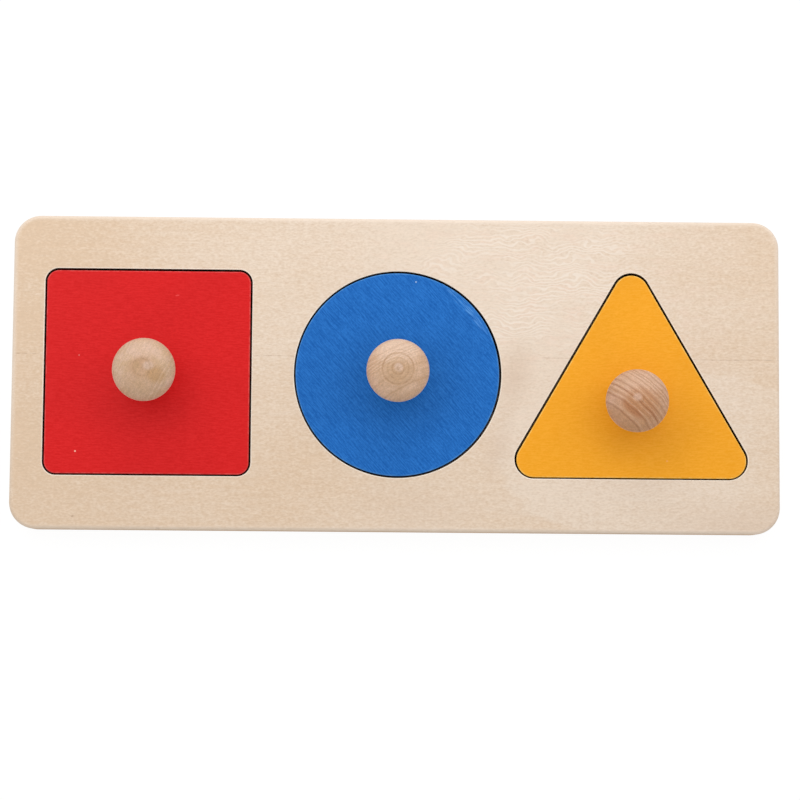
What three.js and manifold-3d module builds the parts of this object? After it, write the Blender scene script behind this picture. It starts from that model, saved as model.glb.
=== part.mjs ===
// A knob puzzle: a plywood board with three recesses, and a square, a circle and a triangle
// that lie flush in them and lift out by turned wooden knobs.
//
// Millimetres, +Z up. The origin is the centre of the board's underside. +X runs along the board
// from the square to the triangle, and the triangle points along +Y.

import * as THREE from 'three';
import { mergeVertices } from 'three/addons/utils/BufferGeometryUtils.js';
import Module from 'manifold-3d';

// Driving dimensions of the board
const BACK_THICKNESS = 3; // thin sheet, the floor of the recesses
const FACE_THICKNESS = 9; // thick sheet, which the recesses and the shapes are cut from
const BOARD_CORNER_RADIUS = 10.4;
const TOP_EDGE_EASE = 1;
const BOTTOM_EDGE_EASE = 0.6;
const END_MARGIN = 12.55; // from each short edge to the nearest recess
const SIDE_MARGIN = 20.85; // from each long edge to the tallest recess
const SQUARE_CIRCLE_WEB = 16.475; // between two recesses, along the board
const CIRCLE_TRIANGLE_WEB = 5.475;

// Driving dimensions of the shapes
const SQUARE_SIDE = 79.6;
const SQUARE_CORNER_RADIUS = 4.6;
const CIRCLE_DIAMETER = 79.65;
const TRIANGLE_SIDE = 99.9; // between the corners as if they were sharp
const TRIANGLE_CORNER_RADIUS = 6.9;
const SHAPE_EDGE_EASE = 0.5;
const FIT_GAP = 0.65; // between a shape and its recess, all round

// Driving dimensions of the knobs
const KNOB_DIAMETER = 24.2;
const KNOB_FOOT_DIAMETER = 15;
const KNOB_FOOT_HEIGHT = 1.2;
const KNOB_NECK_DIAMETER = 12.6;
const KNOB_NECK_HEIGHT = 5.3; // from the foot to where the ball is as wide as the foot again
const KNOB_DOME_HEIGHT = 8.5; // from the knob's widest part to its top
const SQUARE_KNOB_DROP = 0.55; // how far a knob stands off its shape's middle, put on by hand
const TRIANGLE_KNOB_SHIFT = 0.5;
const TRIANGLE_KNOB_RISE = 0.15;

// Driving dimensions of the screws
const SCREW_DIAMETER = 3.5;
const SCREW_LENGTH = 20;
const SCREW_POINT_LENGTH = 4;
const SCREW_HEAD_DIAMETER = 7;
const SCREW_HEAD_RIM = 0.4;
const SCREW_HEAD_SINK = 0.2; // how far the head lies inside the shape's underside
const SCREW_CROSS_LENGTH = 4;
const SCREW_CROSS_WIDTH = 0.9;
const SCREW_CROSS_DEPTH = 1.3;
const SCREW_FIT = 0.1; // radial gap round the head and in the knob
const SCREW_HOLE_CLEARANCE = 0.3; // radial gap round the shank in the shape
const PILOT_SPARE_DEPTH = 1; // how much deeper the knob is drilled than the screw reaches

// Fineness of the round stretches
const CORNER_STEPS = 6; // half the facets of a rounded corner
const CIRCLE_STEPS = 40; // half the facets of the disc
const EASE_STEPS = 2;
const KNOB_PROFILE_STEPS = 4;
const KNOB_FACETS = 32;
const SCREW_FACETS = 24;

// How far a cutting body reaches past the faces that it cuts
const CUT_OVERRUN = 1;

const wasm = await Module();
wasm.setup();

function toSolid(geometry) {
  const bare = geometry.clone();
  bare.deleteAttribute('normal');
  bare.deleteAttribute('uv');
  const merged = mergeVertices(bare);
  return new wasm.Manifold(new wasm.Mesh({
    numProp: 3,
    vertProperties: new Float32Array(merged.attributes.position.array),
    triVerts: new Uint32Array(merged.index.array),
  }));
}

function toGeometry(solid) {
  const mesh = solid.getMesh();
  const geometry = new THREE.BufferGeometry();
  geometry.setAttribute('position', new THREE.BufferAttribute(mesh.vertProperties, 3));
  geometry.setIndex(new THREE.BufferAttribute(mesh.triVerts, 1));
  geometry.computeVertexNormals();
  return geometry;
}

function cut(geometry, ...cutters) {
  const solid = cutters.reduce((left, cutter) => left.subtract(toSolid(cutter)), toSolid(geometry));
  return toGeometry(solid);
}

// Outlines. Corners run anticlockwise, and each corner is an arc of the same radius.
function roundedOutline(corners, radius) {
  const outline = new THREE.Shape();
  corners.forEach((corner, i) => {
    const before = corners.at(i - 1).clone().sub(corner).normalize();
    const after = corners[(i + 1) % corners.length].clone().sub(corner).normalize();
    const halfAngle = Math.acos(before.dot(after)) / 2;
    const inwards = before.clone().add(after).normalize();
    const centre = corner.clone().addScaledVector(inwards, radius / Math.sin(halfAngle));
    const start = Math.atan2(before.x, -before.y);
    const end = Math.atan2(-after.x, after.y);
    outline.absarc(centre.x, centre.y, radius, start, end, false);
  });
  return outline;
}

function rectangleOutline(length, width, radius) {
  const corners = [[1, -1], [1, 1], [-1, 1], [-1, -1]].map(
    ([x, y]) => new THREE.Vector2(x * length / 2, y * width / 2));
  return roundedOutline(corners, radius);
}

// A regular polygon about its own middle, with a side along the bottom.
function polygonOutline(sides, sideLength, radius) {
  const reach = sideLength / (2 * Math.sin(Math.PI / sides));
  const corners = Array.from({ length: sides }, (_, i) => {
    const angle = -Math.PI / 2 + (2 * i + 1) * Math.PI / sides;
    return new THREE.Vector2(reach * Math.cos(angle), reach * Math.sin(angle));
  });
  return roundedOutline(corners, radius);
}

function circleOutline(diameter) {
  return new THREE.Shape().absarc(0, 0, diameter / 2, 0, 2 * Math.PI, false);
}

// Each shape's own outline at a given gap: 0 for the shape, FIT_GAP for its recess.
function polygonAtGap(sides, sideLength, radius, gap) {
  return polygonOutline(sides, sideLength + 2 * gap * Math.tan(Math.PI / sides), radius + gap);
}

const shapes = [
  {
    name: 'square',
    outlineAt: (gap) => polygonAtGap(4, SQUARE_SIDE, SQUARE_CORNER_RADIUS, gap),
    steps: CORNER_STEPS,
    webAfter: SQUARE_CIRCLE_WEB,
    knob: new THREE.Vector2(0, -SQUARE_KNOB_DROP),
    paint: '#d42c2e',
  },
  {
    name: 'circle',
    outlineAt: (gap) => circleOutline(CIRCLE_DIAMETER + 2 * gap),
    steps: CIRCLE_STEPS,
    webAfter: CIRCLE_TRIANGLE_WEB,
    knob: new THREE.Vector2(0, 0), // on the axis, so that the disc turns truly
    paint: '#266bba',
  },
  {
    name: 'triangle',
    outlineAt: (gap) => polygonAtGap(3, TRIANGLE_SIDE, TRIANGLE_CORNER_RADIUS, gap),
    steps: CORNER_STEPS,
    webAfter: 0,
    knob: new THREE.Vector2(TRIANGLE_KNOB_SHIFT, TRIANGLE_KNOB_RISE),
    paint: '#eea02a',
  },
];

// Layout: the recesses stand in a row along the board, each centred between the long edges.
for (const shape of shapes) {
  const points = shape.outlineAt(FIT_GAP).getPoints(shape.steps);
  shape.recess = new THREE.Box2().setFromPoints(points);
}
const widthOf = (shape) => shape.recess.max.x - shape.recess.min.x;
const heightOf = (shape) => shape.recess.max.y - shape.recess.min.y;
const rowLength = shapes.reduce((sum, shape) => sum + widthOf(shape) + shape.webAfter, 0);
const boardLength = rowLength + 2 * END_MARGIN;
const boardWidth = Math.max(...shapes.map(heightOf)) + 2 * SIDE_MARGIN;

let recessStart = END_MARGIN - boardLength / 2;
for (const shape of shapes) {
  shape.x = recessStart - shape.recess.min.x;
  shape.y = -(shape.recess.min.y + shape.recess.max.y) / 2;
  recessStart += widthOf(shape) + shape.webAfter;
}

// A sheet from z = 0 up, with its top edge rounded over and its bottom edge left sharp.
function easedSheet(outline, thickness, ease) {
  const blank = new THREE.ExtrudeGeometry(outline, {
    depth: thickness,
    curveSegments: CORNER_STEPS,
    bevelThickness: ease,
    bevelSize: ease,
    bevelOffset: -ease,
    bevelSegments: EASE_STEPS,
  }).translate(0, 0, -ease);
  const belowDepth = 2 * ease + CUT_OVERRUN;
  const below = new THREE.BoxGeometry(
    boardLength + 2 * CUT_OVERRUN, boardWidth + 2 * CUT_OVERRUN, belowDepth);
  return cut(blank, below.translate(0, 0, -belowDepth / 2));
}

function backPanelGeometry() {
  const outline = rectangleOutline(boardLength, boardWidth, BOARD_CORNER_RADIUS);
  const sheet = easedSheet(outline, BACK_THICKNESS, BOTTOM_EDGE_EASE);
  return sheet.rotateX(Math.PI).translate(0, 0, BACK_THICKNESS);
}

function facePanelGeometry() {
  const outline = rectangleOutline(boardLength, boardWidth, BOARD_CORNER_RADIUS);
  const recessCutters = shapes.map((shape) => new THREE.ExtrudeGeometry(shape.outlineAt(FIT_GAP), {
    depth: FACE_THICKNESS + 2 * CUT_OVERRUN,
    curveSegments: shape.steps,
    bevelEnabled: false,
  }).translate(shape.x, shape.y, -CUT_OVERRUN));
  return cut(easedSheet(outline, FACE_THICKNESS, TOP_EDGE_EASE), ...recessCutters);
}

// A turned body, from a profile of radius against height that starts and ends on the axis.
function turned(profile, facets) {
  return new THREE.LatheGeometry(profile, facets).rotateX(Math.PI / 2);
}

const screwRadius = SCREW_DIAMETER / 2;
const screwHeadRadius = SCREW_HEAD_DIAMETER / 2;

// Clearance hole through a shape, countersunk from its underside for the screw's head.
function screwHoleGeometry() {
  const seatRadius = screwHeadRadius + SCREW_FIT;
  const holeRadius = screwRadius + SCREW_HOLE_CLEARANCE;
  const seatStart = SCREW_HEAD_SINK + SCREW_HEAD_RIM;
  const profile = [
    new THREE.Vector2(0, -CUT_OVERRUN),
    new THREE.Vector2(seatRadius, -CUT_OVERRUN),
    new THREE.Vector2(seatRadius, seatStart),
    new THREE.Vector2(holeRadius, seatStart + seatRadius - holeRadius),
    new THREE.Vector2(holeRadius, FACE_THICKNESS + CUT_OVERRUN),
    new THREE.Vector2(0, FACE_THICKNESS + CUT_OVERRUN),
  ];
  return turned(profile, SCREW_FACETS);
}

function insetGeometry(shape) {
  const plate = new THREE.ExtrudeGeometry(shape.outlineAt(0), {
    depth: FACE_THICKNESS - 2 * SHAPE_EDGE_EASE,
    curveSegments: shape.steps,
    bevelThickness: SHAPE_EDGE_EASE,
    bevelSize: SHAPE_EDGE_EASE,
    bevelOffset: -SHAPE_EDGE_EASE,
    bevelSegments: EASE_STEPS,
  }).translate(0, 0, SHAPE_EDGE_EASE);
  return cut(plate, screwHoleGeometry().translate(shape.knob.x, shape.knob.y, 0));
}

// A flattened ball on a waisted neck with a round foot, drilled from below for its screw.
function knobGeometry() {
  const ballRadius = KNOB_DIAMETER / 2;
  const footRadius = KNOB_FOOT_DIAMETER / 2;
  const neckRadius = KNOB_NECK_DIAMETER / 2;
  const neckMiddle = KNOB_FOOT_HEIGHT + KNOB_NECK_HEIGHT / 2;
  const ballStart = KNOB_FOOT_HEIGHT + KNOB_NECK_HEIGHT;
  const ballCentre = ballStart + Math.sqrt(ballRadius ** 2 - footRadius ** 2);
  const ballStartAngle = Math.atan2(ballStart - ballCentre, footRadius);
  const pilotRadius = screwRadius + SCREW_FIT;
  const pilotDepth = SCREW_HEAD_SINK + SCREW_LENGTH - FACE_THICKNESS + PILOT_SPARE_DEPTH;

  const profile = new THREE.Path();
  profile.moveTo(0, pilotDepth);
  profile.lineTo(pilotRadius, pilotDepth);
  profile.lineTo(pilotRadius, 0);
  profile.lineTo(footRadius, 0);
  profile.lineTo(footRadius, KNOB_FOOT_HEIGHT);
  profile.quadraticCurveTo(2 * neckRadius - footRadius, neckMiddle, footRadius, ballStart);
  profile.absarc(0, ballCentre, ballRadius, ballStartAngle, 0, false);
  profile.absellipse(0, ballCentre, ballRadius, KNOB_DOME_HEIGHT, 0, Math.PI / 2, false);
  return turned(profile.getPoints(KNOB_PROFILE_STEPS), KNOB_FACETS);
}

// A countersunk wood screw, point up, with a cross for the driver in its head.
function screwGeometry() {
  const profile = [
    new THREE.Vector2(0, 0),
    new THREE.Vector2(screwHeadRadius, 0),
    new THREE.Vector2(screwHeadRadius, SCREW_HEAD_RIM),
    new THREE.Vector2(screwRadius, SCREW_HEAD_RIM + screwHeadRadius - screwRadius),
    new THREE.Vector2(screwRadius, SCREW_LENGTH - SCREW_POINT_LENGTH),
    new THREE.Vector2(0, SCREW_LENGTH),
  ];
  const slot = [SCREW_CROSS_LENGTH, SCREW_CROSS_WIDTH, 2 * SCREW_CROSS_DEPTH];
  const slotAcross = [SCREW_CROSS_WIDTH, SCREW_CROSS_LENGTH, 2 * SCREW_CROSS_DEPTH];
  return cut(
    turned(profile, SCREW_FACETS), new THREE.BoxGeometry(...slot), new THREE.BoxGeometry(...slotAcross));
}

const plywood = new THREE.MeshStandardMaterial({ color: '#e4cbb0', roughness: 0.6, metalness: 0 });
const turnedWood = new THREE.MeshStandardMaterial({ color: '#cfa687', roughness: 0.55, metalness: 0 });
const steel = new THREE.MeshStandardMaterial({ color: '#b9bcc0', roughness: 0.35, metalness: 1 });
const paintOf = (shape) => new THREE.MeshStandardMaterial({
  color: shape.paint, roughness: 0.5, metalness: 0,
});

const puzzle = new THREE.Group();

function addPiece(name, geometry, material, x, y, z) {
  const piece = new THREE.Mesh(geometry, material);
  piece.name = name;
  piece.position.set(x, y, z);
  puzzle.add(piece);
}

const boardTop = BACK_THICKNESS + FACE_THICKNESS;
addPiece('back_panel', backPanelGeometry(), plywood, 0, 0, 0);
addPiece('face_panel', facePanelGeometry(), plywood, 0, 0, BACK_THICKNESS);
for (const shape of shapes) {
  const { name, x, y, knob } = shape;
  addPiece(`${name}_inset`, insetGeometry(shape), paintOf(shape), x, y, BACK_THICKNESS);
  addPiece(`${name}_knob`, knobGeometry(), turnedWood, x + knob.x, y + knob.y, boardTop);
  addPiece(
    `${name}_knob_screw`, screwGeometry(), steel, x + knob.x, y + knob.y, BACK_THICKNESS + SCREW_HEAD_SINK);
}

export default puzzle;
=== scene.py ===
"""Dresses the wooden shape puzzle: a plywood board that holds a red square, a blue circle and a
yellow triangle, each with a bare turned knob that is screwed on from below.

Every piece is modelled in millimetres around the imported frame, and is brought to metres at the end.
"""
import math

import bmesh
import bpy
from mathutils import Euler, Matrix, Vector


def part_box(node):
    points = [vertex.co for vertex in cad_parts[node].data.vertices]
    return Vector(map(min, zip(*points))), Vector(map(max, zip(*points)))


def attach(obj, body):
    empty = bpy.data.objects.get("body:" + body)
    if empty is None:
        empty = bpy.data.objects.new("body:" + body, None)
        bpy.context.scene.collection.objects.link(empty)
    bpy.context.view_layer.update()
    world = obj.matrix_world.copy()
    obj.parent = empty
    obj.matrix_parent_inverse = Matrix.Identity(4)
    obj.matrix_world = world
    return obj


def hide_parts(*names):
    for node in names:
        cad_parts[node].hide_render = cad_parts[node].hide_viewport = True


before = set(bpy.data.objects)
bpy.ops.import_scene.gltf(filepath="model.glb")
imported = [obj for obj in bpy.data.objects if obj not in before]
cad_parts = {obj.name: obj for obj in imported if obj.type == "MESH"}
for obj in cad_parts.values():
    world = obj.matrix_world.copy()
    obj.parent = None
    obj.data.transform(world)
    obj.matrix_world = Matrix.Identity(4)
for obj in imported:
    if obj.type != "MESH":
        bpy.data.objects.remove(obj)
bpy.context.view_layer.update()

MM = 0.001

# Board and shapes, in millimetres. Outlines and heights come from the frame.
BOARD_CORNER_RADIUS = 10.4
TOP_EDGE_EASE = 1.5
BOTTOM_EDGE_EASE = 0.6
GLUE_LINE_EASE = 0.12
RECESS_MOUTH_EASE = 0.4
FIT_GAP = 0.65
SQUARE_CORNER_RADIUS = 4.6
TRIANGLE_CORNER_RADIUS = 6.9
SHAPE_EDGE_EASE = 0.5
CUT_OVERRUN = 1.0

# Heights at which the veneers start in the back sheet, the glue line and the face sheet.
PLY_STARTS = [0, 1, 2, 3, 3.1, 4.8, 6.6, 8.4, 10.2]

# How far each recess lies off its shape's middle, because the shapes have settled in them.
RECESS_SHIFT = {"square_inset": (0.0, 0.1), "circle_inset": (0.12, 0.0), "triangle_inset": (-0.05, 0.22)}

# Knobs: a foot, a waisted neck, a ball and a flatter crown.
KNOB_FOOT_RADIUS = 7.5
KNOB_FOOT_HEIGHT = 1.2
KNOB_FOOT_EASE = 0.25
KNOB_NECK_RADIUS = 6.3
KNOB_NECK_TOP = 6.5
KNOB_CROWN_HEIGHT = 8.5
PILOT_RADIUS = 1.85
PILOT_DEPTH = 12.2

# Screws and the holes that they go through.
SCREW_HEAD_RADIUS = 3.5
SCREW_HEAD_RIM = 0.4
SCREW_HEAD_EASE = 0.1
SCREW_CORE_RADIUS = 1.2
SCREW_SHANK_RADIUS = 1.6
SCREW_SHANK_TOP = 6.5
SCREW_CORE_START = 6.9
SCREW_THREAD_RADIUS = 1.72
SCREW_THREAD_ROOT = 1.0
SCREW_THREAD_WIDTH = 0.9
SCREW_THREAD_PITCH = 1.4
SCREW_THREAD_GAP = 0.6
SCREW_POINT_LENGTH = 4.0
SCREW_CROSS = (4.0, 0.9, 1.3)
SCREW_CROSS_TAPER = 0.55
SCREW_HOLE_RADIUS = 2.05
SCREW_SEAT_RADIUS = 3.6
SCREW_SEAT_RIM = 0.6

# Fineness of the round forms.
CORNER_STEPS = 96
DISC_STEPS = 192
KNOB_STEPS = 96
KNOB_RINGS = 40
SCREW_STEPS = 48
EASE_STEPS = 4
FINE_EASE_STEPS = 2

# Rings of points across a tool groove and a nub, as shares of their width, and the smallest ring of all.
GROOVE_RINGS = (-2, -1, -0.5, 0, 0.5, 1, 2)
NUB_RINGS = (0.25, 0.5, 0.75, 1.0, 1.25)
SMALLEST_RING = 0.05

# What counts as near, as flat and as sharp when edges are picked.
NEAR = 0.001
FLAT = math.radians(0.2)
SHARP = math.radians(30)

# How far up a face points when it is level, when it is more level than upright, and when it is no wall.
LEVEL = 0.99
HALF_LEVEL = 0.5
NO_WALL = 0.3


# Modelling helpers.

def box_mm(node):
    """The lowest and highest corner of a frame node, in millimetres."""
    low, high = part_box(node)
    return low / MM, high / MM


def axis_of(node):
    """Where the upright axis of a round node stands, in millimetres."""
    low, high = box_mm(node)
    return (low.x + high.x) / 2, (low.y + high.y) / 2


def take_in_hand(piece):
    """Makes a piece the only selected one, and the active one."""
    bpy.ops.object.select_all(action="DESELECT")
    piece.select_set(True)
    bpy.context.view_layer.objects.active = piece


def name_piece(name):
    """Leaves edit mode, puts the active piece's place into its mesh and names it."""
    bpy.ops.object.mode_set(mode="OBJECT")
    bpy.ops.object.transform_apply(location=True, rotation=True, scale=True)
    piece = bpy.context.object
    piece.name = name
    piece.data.name = name
    return piece


def rounded_plate(name, corners, radius, low, high):
    """A plate whose outline is drawn tight around round posts that stand at its corners.

    All posts after the first are added in edit mode, so that they join its mesh. One post is a disc.
    """
    steps = DISC_STEPS if len(corners) == 1 else CORNER_STEPS
    bpy.ops.object.select_all(action="DESELECT")
    for x, y in corners:
        bpy.ops.mesh.primitive_cylinder_add(
            vertices=steps, radius=radius, depth=high - low, location=(x, y, (low + high) / 2))
        bpy.ops.object.mode_set(mode="EDIT")
    bpy.ops.mesh.select_all(action="SELECT")
    if len(corners) > 1:
        bpy.ops.mesh.convex_hull(join_triangles=False)
        bpy.ops.mesh.select_all(action="SELECT")
        bpy.ops.mesh.dissolve_limited(angle_limit=FLAT)
    return name_piece(name)


def ease_rim(piece, height, width, within=None, steps=EASE_STEPS):
    """Rounds the sharp level edges at a height, all of them or those whose place passes a test."""
    take_in_hand(piece)
    bpy.ops.object.mode_set(mode="EDIT")
    bpy.ops.mesh.select_mode(type="EDGE")
    bpy.ops.mesh.select_all(action="DESELECT")
    mesh = bmesh.from_edit_mesh(piece.data)
    for edge in mesh.edges:
        level = all(abs(end.co.z - height) < NEAR for end in edge.verts)
        if level and edge.calc_face_angle(0.0) > SHARP:
            middle = (edge.verts[0].co + edge.verts[1].co) / 2
            edge.select_set(within is None or within(middle))
    bmesh.update_edit_mesh(piece.data)
    bpy.ops.mesh.bevel(offset=width, segments=steps, profile=0.5, affect="EDGES")
    bpy.ops.object.mode_set(mode="OBJECT")


def combine(piece, tool, operation):
    """Cuts a tool out of a piece, or joins it on, and throws the tool away."""
    take_in_hand(piece)
    bpy.ops.object.modifier_add(type="BOOLEAN")
    modifier = piece.modifiers[-1]
    modifier.operation = operation
    modifier.solver = "EXACT"
    modifier.object = tool
    bpy.ops.object.modifier_apply(modifier=modifier.name)
    take_in_hand(tool)
    bpy.ops.object.delete()


def draw_profile(profile):
    """Draws a chain of edges through (radius, height) points beside the upright axis at the origin."""
    bpy.ops.object.select_all(action="DESELECT")
    points = [Vector((radius, 0, height)) for radius, height in profile]
    bpy.ops.mesh.primitive_plane_add(size=1, location=(0, 0, 0))
    bpy.ops.object.mode_set(mode="EDIT")
    bpy.ops.mesh.select_mode(type="VERT")
    bpy.ops.mesh.select_all(action="SELECT")
    bpy.ops.mesh.merge(type="CENTER")
    bpy.ops.transform.translate(value=points[0])
    for before, after in zip(points, points[1:]):
        bpy.ops.mesh.extrude_region_move(TRANSFORM_OT_translate={"value": after - before})
    bpy.ops.mesh.select_all(action="SELECT")


def turn_on_lathe(name, axis, base, profile, steps):
    """Spins a profile of (radius, height) points round an upright axis."""
    draw_profile(profile)
    bpy.ops.mesh.spin(steps=steps, angle=2 * math.pi, center=(0, 0, 0), axis=(0, 0, 1))
    bpy.ops.mesh.select_all(action="SELECT")
    bpy.ops.mesh.remove_doubles(threshold=NEAR)
    bpy.ops.mesh.normals_make_consistent(inside=False)
    bpy.ops.transform.translate(value=(*axis, base))
    return name_piece(name)


def wind_thread(axis, base, start, end):
    """Winds a three-cornered ridge up round an upright axis, from one height to another.

    It is turned by half a step, so that none of its edges lies on one of the core's.
    """
    half = SCREW_THREAD_WIDTH / 2
    draw_profile([(SCREW_THREAD_ROOT, start - half), (SCREW_THREAD_RADIUS, start),
                  (SCREW_THREAD_ROOT, start + half)])
    bpy.ops.mesh.edge_face_add()
    bpy.ops.object.mode_set(mode="OBJECT")
    bpy.ops.object.modifier_add(type="SCREW")
    winding = bpy.context.object.modifiers[-1]
    winding.axis = "Z"
    winding.screw_offset = SCREW_THREAD_PITCH
    winding.iterations = int((end - start) / SCREW_THREAD_PITCH)
    winding.steps = winding.render_steps = SCREW_STEPS
    bpy.ops.object.modifier_apply(modifier=winding.name)
    bpy.ops.object.mode_set(mode="EDIT")
    bpy.ops.mesh.select_all(action="SELECT")
    bpy.ops.mesh.fill_holes(sides=3)
    bpy.ops.mesh.select_all(action="SELECT")
    bpy.ops.mesh.normals_make_consistent(inside=False)
    bpy.ops.transform.rotate(value=math.pi / SCREW_STEPS, orient_axis="Z", center_override=(0, 0, 0))
    bpy.ops.transform.translate(value=(*axis, base))
    return name_piece("screw_thread")


def finish_piece(piece, node, body, finishes, pick_finish=None):
    """Brings a piece to metres, smooths it, gives it its finishes and puts it on its body."""
    take_in_hand(piece)
    piece.scale = (MM, MM, MM)
    bpy.ops.object.transform_apply(scale=True)
    bpy.ops.object.shade_smooth_by_angle(angle=SHARP)
    bpy.ops.object.modifier_add(type="WEIGHTED_NORMAL")
    piece.modifiers[-1].keep_sharp = True
    bpy.ops.object.modifier_apply(modifier=piece.modifiers[-1].name)
    piece.data.materials.clear()
    for finish in finishes:
        piece.data.materials.append(finish.material)
    for face in piece.data.polygons:
        finish = pick_finish(face.center / MM, face.normal) if pick_finish else finishes[0]
        face.material_index = finishes.index(finish)
    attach(piece, body)
    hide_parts(node)


# Finishes. Places and sizes are in millimetres on the board, colours are linear.

SEAM_Y = 6.8
SEAM_WANDER = 0.3
BIRCH_TAN = (0.745, 0.555, 0.39)
BIRCH_PALE = (0.82, 0.68, 0.55)
BIRCH_ROSE = (0.83, 0.63, 0.50)
BIRCH_CURL = (0.90, 0.79, 0.685)
# Rim colour: worn pale veneer with a painted highlight in it.
BIRCH_RIM_HIGHLIGHT = (0.87, 0.735, 0.615)
BIRCH_RAW = (0.70, 0.51, 0.35)
# Mouth colour: worn pale veneer with a painted highlight in it.
BIRCH_RUBBED_HIGHLIGHT = (0.93, 0.81, 0.68)
BIRCH_PINK = (0.70, 0.535, 0.41)
BIRCH_PORE = (0.56, 0.385, 0.25)
BIRCH_SEAM = (0.42, 0.27, 0.17)
BIRCH_FLECK = (0.86, 0.76, 0.64)
PLY_PALE = (0.79, 0.60, 0.43)
PLY_BROWN = (0.55, 0.36, 0.22)
PLY_SCORCHED = (0.10, 0.054, 0.029)
PLY_CHARRED = (0.04, 0.021, 0.012)
ZINC = (0.60, 0.61, 0.63)

# Marks on the board's face, each with its place and size. Clouds add an amount, which darkens where it
# is below nought, blotches add a turn in degrees and an amount, and knots add a turn.
PALE_CLOUDS = [
    ((18, 48), (130, 75), 0.7),
    ((60, 5), (60, 45), 0.3),
    ((-50, 0), (24, 50), 0.25),
    ((138, 40), (75, 45), -0.05),
    ((148, -30), (20, 45), -0.45),
    ((-95, 0), (55, 110), 0.35),
    ((120, 48), (45, 20), -0.15),
]
SAPWOOD_PATCH = ((108, -32), (80, 40.5))
PINK_BLOTCHES = [
    ((46, 0), (9, 18), -12, 0.7),
    ((40, -28), (6, 16), -15, 0.5),
    ((10, -52), (30, 9), 0, 0.25),
    ((135, -58), (40, 14), 0, 0.5),
]
CURLY_FIGURE = ((52, 38), (62, 36))
ROSY_END = ((60, 30), (110, 70))
SEAM_FADE = ((47, SEAM_Y), (14, 5))
KNOTS = [((-125.2, -56.4), (0.8, 0.5), 20), ((-92.1, -60.9), (1.3, 0.7), -10)]

# Grain of the birch, of the paint and of the knobs.
BIRCH_STREAK = (9, 0.7, 5)
RUBBED_HIGHLIGHT_GRAIN = (3, 3, 1)
CURL_SPACING = 1.6
CURL_SWAY = 12.0
MOTTLE_IN_PAINT = 0.3
GROWTH_WAVER = 0.01

# Sizes so large that a pattern doesn't change along them, and the part of a noise's range that counts.
STEADY = 400
ANY_HEIGHT = 1000
SHADE_RANGE = (0.25, 0.75)
GLOSS_RANGE = (0.3, 0.7)

# The mix node's inputs and output for numbers and for colours, which bear the same names.
MIX_SOCKETS = {"FLOAT": (2, 3, 0), "RGBA": (6, 7, 2)}


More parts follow.
